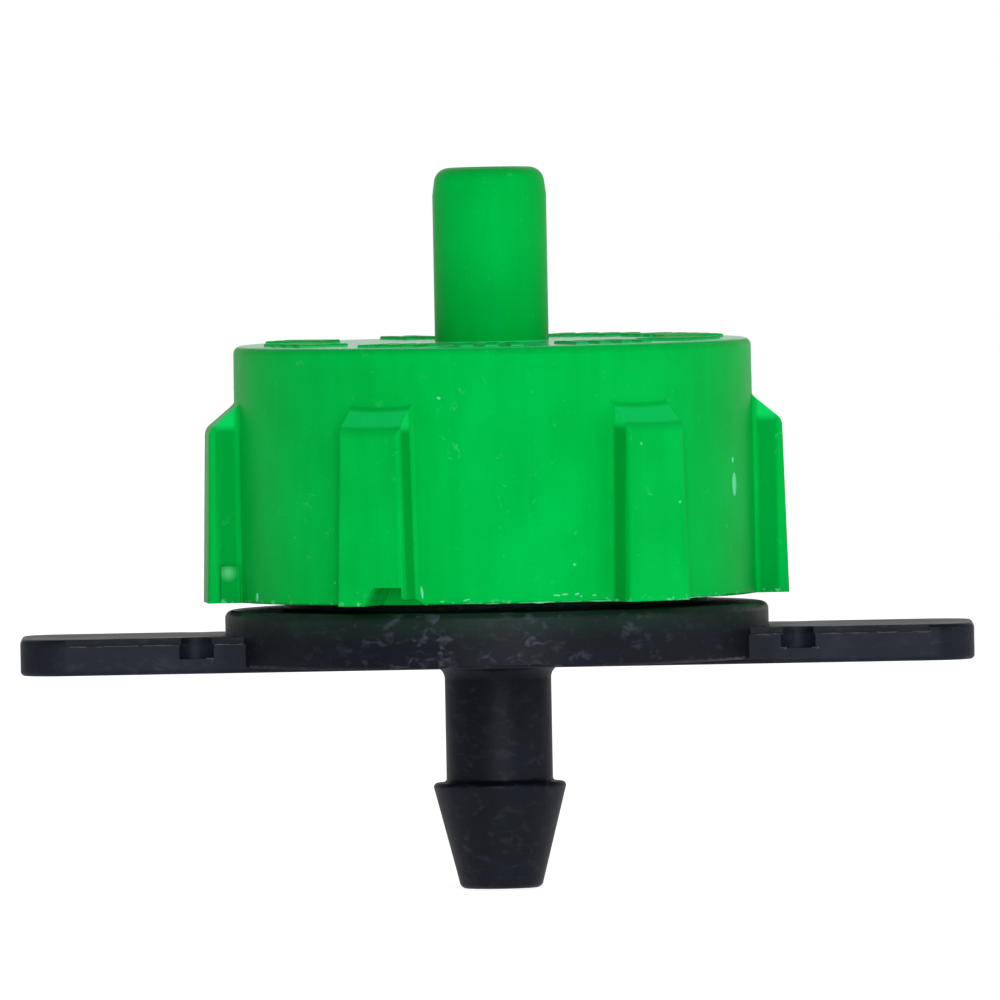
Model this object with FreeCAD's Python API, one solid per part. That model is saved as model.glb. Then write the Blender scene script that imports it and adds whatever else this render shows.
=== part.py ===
"""Take-apart pressure-compensating drip emitter, in millimetres.

The origin is on the emitter's axis at the shoulder of the inlet barb, where the inner face of the
supply pipe rests. +Z runs up through the outlet nipple, and X runs along the two wings.
The black base carries the barb, the flange with its wings and a threaded spigot. The green cap
screws onto the spigot by a three-start quick thread and seals on a ring. Inside, a flow core with
a labyrinth hangs in the cap, is keyed to the base, and holds the silicone diaphragm.
"""

import FreeCAD, Part
import math
import os

# Inlet stem and barb, below the flange.
stem_radius = 2.125
stem_length = 4.6
stem_root_fillet = 0.5
stem_foot_fillet = 0.15
barb_step = 0.56
barb_length = 4.27
barb_shoulder_drop = 0.05
barb_edge_round = 0.17
barb_tip_wall = 0.56
barb_tip_round = 0.28
inlet_bore_radius = 1.05

# Flange and wings.
flange_lip = 0.46
flange_thickness = 2.4
flange_top_round = 0.3
flange_bottom_round = 0.12
flange_underside_rise = 0.2
wing_half_span = 19.0
wing_width = 8.3
wing_thickness = 1.45
wing_corner_radius = 1.8
wing_edge_round = 0.18
wing_ledge_depth = 0.16
wing_ledge_drop = 0.28
notch_beyond_flange = 1.13
notch_radius = 0.72
notch_bite = 0.5
notch_ledge = 0.6

# Cap shell. Its outside leans out by cap_draft from top to rim, for release from the mould.
cap_radius = 10.32
cap_draft = 0.06
cap_wall = 1.12
cap_height = 10.19
cap_gap = 0.34
cap_plate = 1.5
cap_top_round = 0.32
cap_rim_round = 0.12
nipple_radius = 2.27
nipple_height = 6.95
nipple_lead = 1.1
nipple_lead_step = 0.14
nipple_round = 0.62
outlet_bore_radius = 1.2

# Grip ribs around the cap, with one pry notch under a rib and one pad at another rib's foot.
rib_count = 6
rib_clock_deg = 4.3
rib_width = 2.88
rib_side_draft = 0.16
rib_projection = 1.1
rib_foot_extra = 0.2
rib_top_drop = 2.2
rib_slope = 1.1
rib_shoulder_round = 0.55
rib_top_blend = 0.7
rib_edge_round = 0.18
rib_root_fillet = 0.22
rib_root_sink = 0.01
pry_notch_height = 0.73
pry_notch_width = 2.0
pry_notch_slant = 0.38
pry_notch_flare_height = 0.3
pry_notch_round = 0.16
pry_notch_depth = 0.45
pry_notch_offset = 0.76
foot_pad_height = 1.5
foot_pad_length = 0.78
foot_pad_edge_gap = 0.3
foot_pad_thickness = 0.13
foot_pad_round = 0.07

# Raised ticks on the cap's top, in groups: (middle angle, how many).
tick_height = 0.12
tick_length = 2.3
tick_width = 0.52
tick_pitch_deg = 6.2
tick_rim_margin = 1.0
tick_edge_round = 0.05
tick_groups = (
    (158, 3), (114, 2), (90, 4), (61, 4), (25, 6),
    (-24, 4), (-58, 4), (-90, 3), (-114, 4), (-156, 4),
)

# Quick thread between the cap and the spigot.
thread_starts = 3
thread_depth = 0.6
thread_clearance = 0.15
thread_flank_gap = 0.06
thread_margin = 0.12
thread_root_share = 0.45
thread_crest_share = 0.25
spigot_ridge_arc = 100.0
cap_ridge_arc = 60.0
unscrew_turn = 90.0

# Seal ring, its groove and the land in the cap that it presses on.
land_clearance = 0.1
land_lead_in = 0.6
seal_squeezed = 0.83
seal_width = 1.12
seal_corner = 0.38
seal_gap = 0.02
groove_depth = 0.75
groove_play = 0.1
groove_lip = 0.55
spigot_wall = 1.55
spigot_edge_round = 0.15
well_floor = 2.0

# Flow core: a tube with a head, a labyrinth of two rows round its outside and a comb filter.
core_fit = 0.05
core_head_step = 0.77
core_head_height = 1.5
core_head_gap = 0.1
chamber_height = 0.63
labyrinth_depth = 0.7
labyrinth_row_wall = 0.45
labyrinth_roof = 0.3
tooth_pitch = 1.15
tooth_reach_share = 0.62
tooth_foot_share = 0.8
tooth_tip_width = 0.22
labyrinth_wall_deg = 90.0
port_width = 0.8
port_step_deg = 7.0
gallery_lip = 0.2
gallery_height = 0.5
comb_slots = 14
comb_slot_width = 0.4
comb_slot_height = 0.35
key_width = 1.2
key_depth = 0.5
key_clearance = 0.06
key_overlap = 0.7
key_angles_deg = (0, 180)

# Diaphragm and the outlet seat above it.
diaphragm_thickness = 1.1
diaphragm_play = 0.12
diaphragm_float = 0.3
diaphragm_edge_round = 0.2
diaphragm_ledge = 1.0
core_rim = 1.1
seat_width = 0.9
seat_stand_off = 0.05
seat_groove_width = 0.35
seat_groove_depth = 0.22
seat_groove_deg = 45.0

# Clip ring inside the cap that carries the flow core's head.
clip_wall = 0.4
clip_bead = 0.3
clip_bead_height = 0.3
clip_bead_gap = 0.05
clip_root_drop = 0.5
press_pad_width = 0.4
press_pad_gap = 0.05

# How deep one solid runs into another that it is joined to, how far a cutting solid runs past the
# wall that it cuts, and how much an edge may rise and still count as level.
weld = 0.2
overrun = 1.0
level_limit = 1e-6

# Direction of the emitter's front, as an angle from +X.
front_deg = -90

# Heights, worked out from the sizes above.
flange_bottom = stem_length
flange_top = flange_bottom + flange_thickness
cap_rim = flange_top + cap_gap
cap_top = cap_rim + cap_height
nipple_top = cap_top + nipple_height
ceiling = cap_top - cap_plate
head_top = ceiling - chamber_height
head_bottom = head_top - core_head_height
bead_top = head_bottom - clip_bead_gap
bead_bottom = bead_top - clip_bead_height
spigot_top = bead_bottom - core_head_gap
groove_height = seal_width + 2 * groove_play
groove_top = spigot_top - groove_lip
groove_bottom = groove_top - groove_height
land_bottom = groove_bottom - groove_play
lead_in_bottom = land_bottom - land_lead_in
well_bottom = flange_bottom + well_floor
core_bottom = well_bottom + core_fit

# Radii, from the cap's outside inward.
flange_radius = cap_radius + cap_draft + flange_lip
skirt_inner = cap_radius - cap_wall
spigot_radius = skirt_inner - thread_clearance - thread_depth
land_radius = spigot_radius + land_clearance
groove_radius = spigot_radius - groove_depth
well_radius = spigot_radius - spigot_wall
core_radius = well_radius - core_fit
head_radius = core_radius + core_head_step
clip_inner = head_radius + core_head_gap
clip_outer = clip_inner + clip_wall
recess_radius = core_radius - core_rim
diaphragm_radius = recess_radius - diaphragm_play
hollow_radius = diaphragm_radius - diaphragm_ledge
barb_radius = stem_radius + barb_step
barb_tip_radius = inlet_bore_radius + barb_tip_wall
deck = head_top - diaphragm_thickness - diaphragm_float
seat_bottom = deck + diaphragm_thickness + diaphragm_float + seat_stand_off

# The thread fills the height between the rim and the seal's lead-in. One pitch is the distance
# from one start's ridge to the next, and the flanks of a seated pair stand thread_flank_gap apart.
thread_low = cap_rim + thread_margin
thread_high = lead_in_bottom - thread_margin
ridge_overlap_share = (thread_depth + thread_clearance) / thread_depth
ridge_pair_share = thread_root_share - (thread_root_share - thread_crest_share) * ridge_overlap_share / 2
ridge_start_deg = (spigot_ridge_arc - cap_ridge_arc) / 2
rise_share = thread_starts * (spigot_ridge_arc - ridge_start_deg) / 360
stack_share = rise_share + thread_root_share + ridge_pair_share
thread_pitch = (thread_high - thread_low - thread_flank_gap) / stack_share
thread_lead = thread_starts * thread_pitch
ridge_drop = ridge_pair_share * thread_pitch + thread_flank_gap
spigot_ridge_z = thread_high - thread_root_share * thread_pitch / 2 - thread_lead * spigot_ridge_arc / 360
unscrew_lift = thread_lead * unscrew_turn / 360

# Heights that follow from the lift: the keys still hold the flow core when the cap is at the top of
# its turn, and the labyrinth's two rows stand between the keyways and the spigot's top.
key_top = well_bottom + unscrew_lift + key_overlap
keyway_top = key_top + key_clearance
row_low = keyway_top + labyrinth_row_wall
row_high = spigot_top - labyrinth_roof
row_height = (row_high - row_low - labyrinth_row_wall) / 2
row_bottoms = (row_low, row_high - row_height)
labyrinth_root = core_radius - labyrinth_depth

AXIS = FreeCAD.Vector(0, 0, 1)
CENTRE = FreeCAD.Vector(0, 0, 0)


def corner_points(before, corner, after, radius):
    """Start, middle and end of the arc that rounds a corner between two straight runs."""
    back = (before[0] - corner[0], before[1] - corner[1])
    ahead = (after[0] - corner[0], after[1] - corner[1])
    back_length = math.hypot(*back)
    ahead_length = math.hypot(*ahead)
    back = (back[0] / back_length, back[1] / back_length)
    ahead = (ahead[0] / ahead_length, ahead[1] / ahead_length)
    half = math.acos(back[0] * ahead[0] + back[1] * ahead[1]) / 2
    reach = radius / math.tan(half)
    middle_way = (back[0] + ahead[0], back[1] + ahead[1])
    middle_length = math.hypot(*middle_way)
    middle_reach = (radius / math.sin(half) - radius) / middle_length
    return (
        (corner[0] + back[0] * reach, corner[1] + back[1] * reach),
        (corner[0] + middle_way[0] * middle_reach, corner[1] + middle_way[1] * middle_reach),
        (corner[0] + ahead[0] * reach, corner[1] + ahead[1] * reach),
    )


def outline(corners, place):
    """A closed face from (a, b) or (a, b, round) corners, set in space by place(a, b)."""
    runs = []
    count = len(corners)
    for i, corner in enumerate(corners):
        if len(corner) == 3:
            arc = corner_points(corners[i - 1], corner, corners[(i + 1) % count], corner[2])
            runs.append(arc)
        else:
            runs.append((corner,))
    edges = []
    for i, run in enumerate(runs):
        if len(run) == 3:
            edges.append(Part.Arc(place(*run[0]), place(*run[1]), place(*run[2])).toShape())
        start = place(*run[-1][:2])
        end = place(*runs[(i + 1) % count][0][:2])
        edges.append(Part.makeLine(start, end))
    return Part.Face(Part.Wire(edges))


def side_on(radius, height):
    """A point of a side profile, in the plane through the axis and +X."""
    return FreeCAD.Vector(radius, 0, height)


def revolved(corners):
    """A body of revolution about the emitter's axis from its (radius, height) profile."""
    return outline(corners, side_on).revolve(CENTRE, AXIS, 360)


def turned(shape, degrees):
    """A copy of the shape turned about the emitter's axis."""
    copy = shape.copy()
    copy.rotate(CENTRE, AXIS, degrees)
    return copy


def tube(inner, outer, bottom, top):
    """A ring of rectangular section about the axis."""
    ring = Part.makeCylinder(outer, top - bottom, AXIS * bottom)
    return ring.cut(Part.makeCylinder(inner, top - bottom, AXIS * bottom))


def radial_box(inner, outer, width, bottom, top, degrees=0.0):
    """A box that runs outward from the axis, centred on a direction."""
    box = Part.makeBox(outer - inner, width, top - bottom, FreeCAD.Vector(inner, -width / 2, bottom))
    return turned(box, degrees)


def ridge(root, crest, arc, height, start_deg):
    """One helical thread ridge with a trapezoid section, from its root to its crest radius."""
    root_half = thread_root_share * thread_pitch / 2
    crest_half = thread_crest_share * thread_pitch / 2
    outward = 1 if crest > root else -1
    weld_half = root_half + (root_half - crest_half) * weld / thread_depth
    section = [
        side_on(root - outward * weld, -weld_half),
        side_on(crest, -crest_half),
        side_on(crest, crest_half),
        side_on(root - outward * weld, weld_half),
    ]
    path = Part.Wire(Part.makeHelix(thread_lead, thread_lead * arc / 360, root))
    solid = path.makePipeShell([Part.makePolygon(section + section[:1])], True, True)
    solid = turned(solid, start_deg)
    solid.translate(FreeCAD.Vector(0, 0, height))
    return solid


def base_body():
    """Barb, stem, flange and spigot with the seal groove and the well for the flow core."""
    return revolved([
        (inlet_bore_radius, -barb_length),
        (barb_tip_radius, -barb_length, barb_tip_round),
        (barb_radius, -barb_shoulder_drop, barb_edge_round),
        (stem_radius, 0, stem_foot_fillet),
        (stem_radius, flange_bottom, stem_root_fillet),
        (stem_radius + 2 * stem_root_fillet, flange_bottom),
        (stem_radius + 2 * stem_root_fillet, flange_bottom + flange_underside_rise),
        (flange_radius, flange_bottom + flange_underside_rise, flange_bottom_round),
        (flange_radius, flange_top, flange_top_round),
        (spigot_radius, flange_top, spigot_edge_round),
        (spigot_radius, groove_bottom),
        (groove_radius, groove_bottom),
        (groove_radius, groove_top),
        (spigot_radius, groove_top),
        (spigot_radius, spigot_top, spigot_edge_round),
        (well_radius, spigot_top, spigot_edge_round),
        (well_radius, well_bottom),
        (inlet_bore_radius, well_bottom),
    ])


def level_edges(solid):
    """The edges of a solid that lie level."""
    return [edge for edge in solid.Edges if edge.BoundBox.ZLength < level_limit]


def wings():
    """The two wings as one bar with round corners and soft edges, which runs on under the flange."""
    half_width = wing_width / 2

    def plan(x, y):
        return FreeCAD.Vector(x, y, flange_bottom)

    corners = [
        (sx * wing_half_span, sy * half_width, wing_corner_radius)
        for sx, sy in ((-1, -1), (1, -1), (1, 1), (-1, 1))
    ]
    bar = outline(corners, plan).extrude(AXIS * wing_thickness)
    return bar.makeFillet(wing_edge_round, level_edges(bar))


def wing_ledges():
    """Shallow steps along the top of the wings' long sides, where the two halves of the mould meet."""
    reach = wing_half_span - wing_corner_radius
    bottom = flange_bottom + wing_thickness - wing_ledge_drop
    step = Part.makeBox(2 * reach, 2 * wing_ledge_depth, wing_ledge_drop + overrun)
    return [
        step.translated(FreeCAD.Vector(-reach, sy * wing_width / 2 - wing_ledge_depth, bottom))
        for sy in (-1, 1)
    ]


def wing_notches():
    """Blind half-round notches in both long sides of each wing, just outside the flange."""
    along = flange_radius + notch_beyond_flange
    across = wing_width / 2 + notch_radius - notch_bite
    bottom = flange_bottom + notch_ledge
    return [
        Part.makeCylinder(notch_radius, wing_thickness, FreeCAD.Vector(sx * along, sy * across, bottom))
        for sx in (-1, 1)
        for sy in (-1, 1)
    ]


def make_base():
    """The one-piece black base."""
    key = radial_box(well_radius - key_depth, well_radius + weld, key_width, well_bottom - weld, key_top)
    keys = [turned(key, angle) for angle in key_angles_deg]
    thread = ridge(spigot_radius, spigot_radius + thread_depth, spigot_ridge_arc, spigot_ridge_z, 0)
    ridges = [turned(thread, 360 * k / thread_starts) for k in range(thread_starts)]
    plate = wings().cut(Part.makeCylinder(inlet_bore_radius, flange_top))
    plate = plate.cut(wing_ledges()).cut(wing_notches())
    return base_body().fuse([plate, *keys, *ridges]).removeSplitter()


def cap_body():
    """Shell, nipple, outlet seat, press pad and clip ring as one profile."""
    seat_radius = outlet_bore_radius + seat_width
    pad_outer = head_radius - press_pad_width / 2
    return revolved([
        (skirt_inner, cap_rim),
        (cap_radius + cap_draft, cap_rim, cap_rim_round),
        (cap_radius, cap_top, cap_top_round),
        (nipple_radius, cap_top),
        (nipple_radius, nipple_top - nipple_lead),
        (nipple_radius - nipple_lead_step, nipple_top, nipple_round),
        (outlet_bore_radius, nipple_top),
        (outlet_bore_radius, seat_bottom),
        (seat_radius, seat_bottom),
        (seat_radius, ceiling),
        (pad_outer - press_pad_width, ceiling),
        (pad_outer - press_pad_width, head_top + press_pad_gap),
        (pad_outer, head_top + press_pad_gap),
        (pad_outer, ceiling),
        (clip_inner, ceiling),
        (clip_inner, bead_top),
        (clip_inner - clip_bead, bead_top),
        (clip_inner, bead_bottom),
        (clip_outer, bead_bottom),
        (clip_outer, ceiling - clip_root_drop),
        (land_radius, ceiling - clip_root_drop),
        (land_radius, land_bottom),
        (skirt_inner, lead_in_bottom),
    ])


def skirt_radius(height):
    """The cap's outside radius at a height, with its draft."""
    return cap_radius + cap_draft * (cap_top - height) / cap_height


def rib_section(height, reach, half):
    """The level cut of a rib along +X: soft outer corners, and roots that flare into the skirt."""
    inside = skirt_radius(height) - cap_wall / 2
    root = skirt_radius(height) - rib_root_sink

    def level(along, across):
        return FreeCAD.Vector(along, across, height)

    def on_skirt(across):
        return math.sqrt(root ** 2 - across ** 2)

    flare = half + 2 * rib_root_fillet
    return outline([
        (inside, -flare),
        (on_skirt(flare), -flare),
        (on_skirt(half), -half, rib_root_fillet),
        (reach, -half, rib_edge_round),
        (reach, half, rib_edge_round),
        (on_skirt(half), half, rib_root_fillet),
        (on_skirt(flare), flare),
        (inside, flare),
    ], level).OuterWire


def grip_rib():
    """One grip rib along +X that widens and stands out further toward the rim, with a sloped top.

    The slope runs on into the skirt, past where the rib's flared roots leave the skirt's curve.
    """
    reach = cap_radius + rib_projection
    inside = cap_radius - cap_wall
    sunk = math.sqrt(cap_radius ** 2 - (rib_width / 2 + 2 * rib_root_fillet) ** 2)
    start = cap_top - rib_top_drop
    shoulder = start - rib_slope
    above = start + rib_top_blend
    foot = (cap_rim, reach + rib_foot_extra, rib_width / 2)
    head = (above, reach, rib_width / 2 - rib_side_draft)
    body = Part.makeLoft([rib_section(*foot), rib_section(*head)], True, True)
    side = outline([
        (inside, cap_rim),
        (reach + rib_foot_extra, cap_rim),
        (reach + rib_foot_extra * (above - shoulder) / (above - cap_rim), shoulder, rib_shoulder_round),
        (sunk, start, rib_top_blend),
        (sunk, above),
        (inside, above),
    ], side_on)
    side.translate(FreeCAD.Vector(0, -rib_width, 0))
    return body.common(side.extrude(FreeCAD.Vector(0, 2 * rib_width, 0)))


def pry_notch():
    """The slot under the rib along +X, slanted on one side and flared at the foot of the other.

    It leaves the skirt's inner wall standing.
    """
    half = pry_notch_width / 2
    top = cap_rim + pry_notch_height

    def front_on(across, height):
        return FreeCAD.Vector(cap_radius - pry_notch_depth, across + pry_notch_offset, height)

    return outline([
        (-half, cap_rim - overrun),
        (half, cap_rim - overrun),
        (half, cap_rim),
        (half - pry_notch_slant, cap_rim + pry_notch_flare_height, pry_notch_round),
        (half - pry_notch_slant, top),
        (pry_notch_slant - half, top, pry_notch_round),
        (-half, cap_rim),
    ], front_on).extrude(FreeCAD.Vector(pry_notch_depth + rib_projection + overrun, 0, 0))


def foot_pad():
    """The low pad on one flank of the rib along +X, at its foot."""
    outer = cap_radius + rib_projection - foot_pad_edge_gap
    flank = rib_width / 2
    pad = Part.makeBox(foot_pad_length, foot_pad_thickness + weld, foot_pad_height + weld,
                       FreeCAD.Vector(outer - foot_pad_length, flank - weld, cap_rim - weld))
    soft = [edge for edge in pad.Edges if edge.BoundBox.YMin > flank and edge.BoundBox.ZMax > cap_rim]
    pad = pad.makeFillet(foot_pad_round, soft)
    below = Part.makeBox(outer, rib_width, overrun, FreeCAD.Vector(0, 0, cap_rim - overrun))
    return pad.cut(below)


def tick(degrees):
    """One raised radial tick near the rim of the cap's top, with a soft upper edge."""
    outer = cap_radius - tick_rim_margin
    bar = radial_box(outer - tick_length, outer, tick_width, cap_top - weld, cap_top + tick_height)
    upper = [edge for edge in bar.Edges if edge.BoundBox.ZMin > cap_top]
    return turned(bar.makeFillet(tick_edge_round, upper), degrees)


def ticks():
    """Every tick of every group."""
    return [
        tick(middle + tick_pitch_deg * (k - (count - 1) / 2))
        for middle, count in tick_groups
        for k in range(count)
    ]


def make_cap():
    """The one-piece green cap."""
    first = front_deg + rib_clock_deg - 180 / rib_count
    rib_angles = [first + 360 * k / rib_count for k in range(rib_count)]
    ribs = [turned(grip_rib(), angle) for angle in rib_angles]
    pad = turned(foot_pad(), rib_angles[-1])
    thread = ridge(skirt_inner, skirt_inner - thread_depth, cap_ridge_arc,
                   spigot_ridge_z - ridge_drop + thread_lead * ridge_start_deg / 360, ridge_start_deg)
    ridges = [turned(thread, 360 * k / thread_starts) for k in range(thread_starts)]
    shell = cap_body().fuse([*ribs, pad, *ridges, *ticks()])
    groove = radial_box(0, outlet_bore_radius + 2 * seat_width, seat_groove_width,
                        seat_bottom - overrun, seat_bottom + seat_groove_depth, seat_groove_deg)
    return shell.cut([turned(pry_notch(), first), groove]).removeSplitter()


def labyrinth_teeth(bottom, top):
    """Teeth that reach by turns from the floor and the roof of one labyrinth row."""
    count = 2 * round(math.pi * core_radius / tooth_pitch)
    reach = (top - bottom) * tooth_reach_share
    foot_half = tooth_pitch * tooth_foot_share / 2
    tip_half = tooth_tip_width / 2

    def facing(across, height):
        return FreeCAD.Vector(labyrinth_root - weld, across, height)

    def tooth(foot, tip, angle):
        face = outline([(-foot_half, foot), (foot_half, foot), (tip_half, tip), (-tip_half, tip)], facing)
        return turned(face.extrude(FreeCAD.Vector(labyrinth_depth + 2 * weld, 0, 0)), angle)

    rising = [tooth(bottom - weld, bottom + reach, 360 * k / count) for k in range(1, count, 2)]
    hanging = [tooth(top + weld, top - reach, 360 * k / count) for k in range(0, count, 2)]
    return rising + hanging


def port(bottom, top, degrees):
    """A cut that runs up the outside of the flow core, as deep as the labyrinth."""
    return radial_box(labyrinth_root, core_radius + overrun, port_width, bottom, top, degrees)


def make_flow_core():
    """Tube with the labyrinth outside, the comb filter at its foot and the diaphragm's seat on top."""
    comb_top = core_bottom + comb_slot_height
    gallery_bottom = comb_top + gallery_lip
    low_middle = row_bottoms[0] + row_height / 2
    high_middle = row_bottoms[1] + row_height / 2
    body = tube(hollow_radius, core_radius, core_bottom, head_bottom)
    rows = [tube(labyrinth_root, core_radius + overrun, low, low + row_height) for low in row_bottoms]
    teeth = [tooth for low in row_bottoms for tooth in labyrinth_teeth(low, low + row_height)]
    body = body.cut(rows).fuse(teeth).common(Part.makeCylinder(core_radius, cap_top))
    body = body.cut([
        tube(labyrinth_root, core_radius + overrun, gallery_bottom, gallery_bottom + gallery_height),
        port(gallery_bottom, low_middle, labyrinth_wall_deg + port_step_deg),
        port(low_middle, high_middle, labyrinth_wall_deg - port_step_deg),
    ])
    wall = radial_box(labyrinth_root - weld, core_radius - core_fit, port_width, row_low, row_high,
                      labyrinth_wall_deg)
    head = revolved([
        (hollow_radius, head_bottom - weld),
        (core_radius, head_bottom - weld),
        (core_radius, head_bottom),
        (head_radius, head_bottom),
        (head_radius, head_top),
        (recess_radius, head_top),
        (recess_radius, deck),
        (hollow_radius, deck),
    ])
    exit_hole = radial_box(labyrinth_root, core_radius - core_fit, port_width, high_middle,
                           head_top + overrun, labyrinth_wall_deg + port_step_deg)
    comb_slot = radial_box(hollow_radius - overrun, core_radius + overrun, comb_slot_width,
                           core_bottom - overrun, comb_top)
    combs = [turned(comb_slot, 360 * (k + 0.5) / comb_slots) for k in range(comb_slots)]
    keyway = radial_box(well_radius - key_depth - key_clearance, core_radius + overrun,
                        key_width + 2 * key_clearance, core_bottom - overrun, keyway_top)
    keyways = [turned(keyway, angle) for angle in key_angles_deg]
    return body.fuse([wall, head]).cut([exit_hole, *combs, *keyways]).removeSplitter()


def make_diaphragm():
    """The silicone disc that rests on the flow core's deck."""
    disc = Part.makeCylinder(diaphragm_radius, diaphragm_thickness, AXIS * deck)
    return disc.makeFillet(diaphragm_edge_round, level_edges(disc))


def make_seal_ring():
    """The seal ring as it sits squeezed between the groove and the cap's land."""
    outer = land_radius - seal_gap
    inner = outer - seal_squeezed
    middle = (groove_bottom + groove_top) / 2
    low = middle - seal_width / 2
    high = middle + seal_width / 2
    return revolved([
        (inner, low, seal_corner),
        (outer, low, seal_corner),
        (outer, high, seal_corner),
        (inner, high, seal_corner),
    ])


def main():
    """Builds every piece, writes one STEP each and prints the sizes that the record repeats."""
    os.makedirs("parts", exist_ok=True)
    pieces = {
        "base": make_base,
        "cap": make_cap,
        "flow_core": make_flow_core,
        "diaphragm": make_diaphragm,
        "seal_ring": make_seal_ring,
    }
    for name, make in pieces.items():
        shape = make()
        print(f"{name}: valid {shape.isValid()}, solids {len(shape.Solids)}, faces {len(shape.Faces)},"
              f" volume {shape.Volume:.2f}")
        shape.exportStep(f"parts/{name}.step")
    print(f"lead {thread_lead:.6f} mm, lift {unscrew_lift:.6f} mm over {unscrew_turn:g} degrees")
    print(f"cap rim {cap_rim:.3f}, cap top {cap_top:.3f}, nipple top {nipple_top:.3f},"
          f" barb tip {-barb_length:.3f}")
    print(f"nipple wall {nipple_top - nipple_lead - cap_top:.3f} long at radius {nipple_radius:.3f}")


main()
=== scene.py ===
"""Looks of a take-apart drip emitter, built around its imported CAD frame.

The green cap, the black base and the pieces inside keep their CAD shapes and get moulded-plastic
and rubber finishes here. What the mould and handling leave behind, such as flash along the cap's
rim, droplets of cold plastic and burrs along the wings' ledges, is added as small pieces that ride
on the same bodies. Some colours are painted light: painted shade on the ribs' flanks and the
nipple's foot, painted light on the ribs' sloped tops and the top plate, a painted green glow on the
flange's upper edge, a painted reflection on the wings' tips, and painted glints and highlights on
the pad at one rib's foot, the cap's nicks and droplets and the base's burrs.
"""

import logging
import math
import random
from collections.abc import Callable, Sequence
from dataclasses import dataclass
from enum import Enum

import bmesh
import bpy
from mathutils import Matrix, Vector


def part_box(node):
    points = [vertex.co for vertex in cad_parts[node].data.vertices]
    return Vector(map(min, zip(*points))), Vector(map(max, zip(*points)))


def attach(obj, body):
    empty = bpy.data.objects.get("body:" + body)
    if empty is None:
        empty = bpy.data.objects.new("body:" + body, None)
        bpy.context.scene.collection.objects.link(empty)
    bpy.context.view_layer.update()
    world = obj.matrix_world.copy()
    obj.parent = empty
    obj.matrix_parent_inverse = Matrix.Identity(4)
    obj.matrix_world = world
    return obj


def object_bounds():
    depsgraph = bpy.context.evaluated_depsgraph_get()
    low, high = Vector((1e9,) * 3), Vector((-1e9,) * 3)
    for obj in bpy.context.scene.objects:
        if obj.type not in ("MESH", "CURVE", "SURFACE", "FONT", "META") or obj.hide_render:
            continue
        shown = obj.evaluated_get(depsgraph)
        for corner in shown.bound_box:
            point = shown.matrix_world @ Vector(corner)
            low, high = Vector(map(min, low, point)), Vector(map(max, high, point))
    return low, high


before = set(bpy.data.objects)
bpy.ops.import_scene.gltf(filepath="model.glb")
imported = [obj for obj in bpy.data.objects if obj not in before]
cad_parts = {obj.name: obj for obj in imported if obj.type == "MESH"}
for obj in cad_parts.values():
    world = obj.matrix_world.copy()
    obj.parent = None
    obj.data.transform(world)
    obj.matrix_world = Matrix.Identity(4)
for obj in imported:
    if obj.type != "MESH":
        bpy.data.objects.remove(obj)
CAD_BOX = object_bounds()

LOG = logging.getLogger("drip_emitter")
MM = 0.001

Colour = tuple[float, float, float, float]
Range = tuple[float, float]
Triple = tuple[float, float, float]
Shape = bmesh.types.BMesh
Tree = bpy.types.NodeTree
Socket = bpy.types.NodeSocket

SMOOTH = {"interpolation_type": "SMOOTHSTEP"}
COLOURED = {"data_type": "RGBA"}
# Most of a noise's values lie between these.
NOISE_BULK = {"From Min": 0.3, "From Max": 0.7}


class Body(Enum):
    """The CAD bodies that pieces ride on."""

    BASE = "base"
    CAP = "cap"


class Node(Enum):
    """The CAD nodes."""

    BASE = "base"
    CAP = "cap"
    FLOW_CORE = "flow_core"
    DIAPHRAGM = "diaphragm"
    SEAL_RING = "seal_ring"


class Slot(Enum):
    """The record's material slots for the cap and the base."""

    CAP = "green_cap"
    BASE = "black_base"


def linear(hex_colour: str) -> Colour:
    """Turns an sRGB hex colour into Blender's linear colour.

    Args:
        hex_colour: Six hex digits after a hash sign.

    Returns:
        Linear red, green and blue, and an alpha of 1.
    """
    channels = [int(hex_colour[i:i + 2], 16) / 255 for i in (1, 3, 5)]
    values = [c / 12.92 if c <= 0.04045 else ((c + 0.055) / 1.055) ** 2.4 for c in channels]
    return (values[0], values[1], values[2], 1.0)


def per_metre(size_mm: float) -> float:
    """The texture scale at which one cell of a pattern is size_mm across."""
    return 1 / (size_mm * MM)


def cells(place: Socket, size_mm: float) -> dict[str, object]:
    """The place and the scale of a pattern whose cells are size_mm across."""
    return {"Vector": place, "Scale": per_metre(size_mm)}


def between(limits: Range, scale: float = 1.0, start: float = 0.0) -> dict[str, object]:
    """The input range of a Map Range node, from its two limits counted from a start."""
    return {"From Min": (start + limits[0]) * scale, "From Max": (start + limits[1]) * scale}


def add_node(
    tree: Tree,
    kind: str,
    settings: dict[str, object] | None = None,
    inputs: dict[str | int, object] | None = None,
    output: str | int = 0,
) -> Socket | None:
    """Adds one shader node with its settings, its socket values and its links.

    Args:
        tree: The node tree that gets the node.
        kind: The node's type after ShaderNode, such as TexNoise.
        settings: Properties of the node itself.
        inputs: Values for its sockets by name or number. Another node's socket is linked.
        output: The name or number of the output to hand back.

    Returns:
        The output, or None for a node that has none.
    """
    node = tree.nodes.new(f"ShaderNode{kind}")
    for name, value in (settings or {}).items():
        setattr(node, name, value)
    for key, value in (inputs or {}).items():
        if isinstance(value, Socket):
            tree.links.new(value, node.inputs[key])
        else:
            node.inputs[key].default_value = value
    return node.outputs[output] if node.outputs else None


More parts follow.
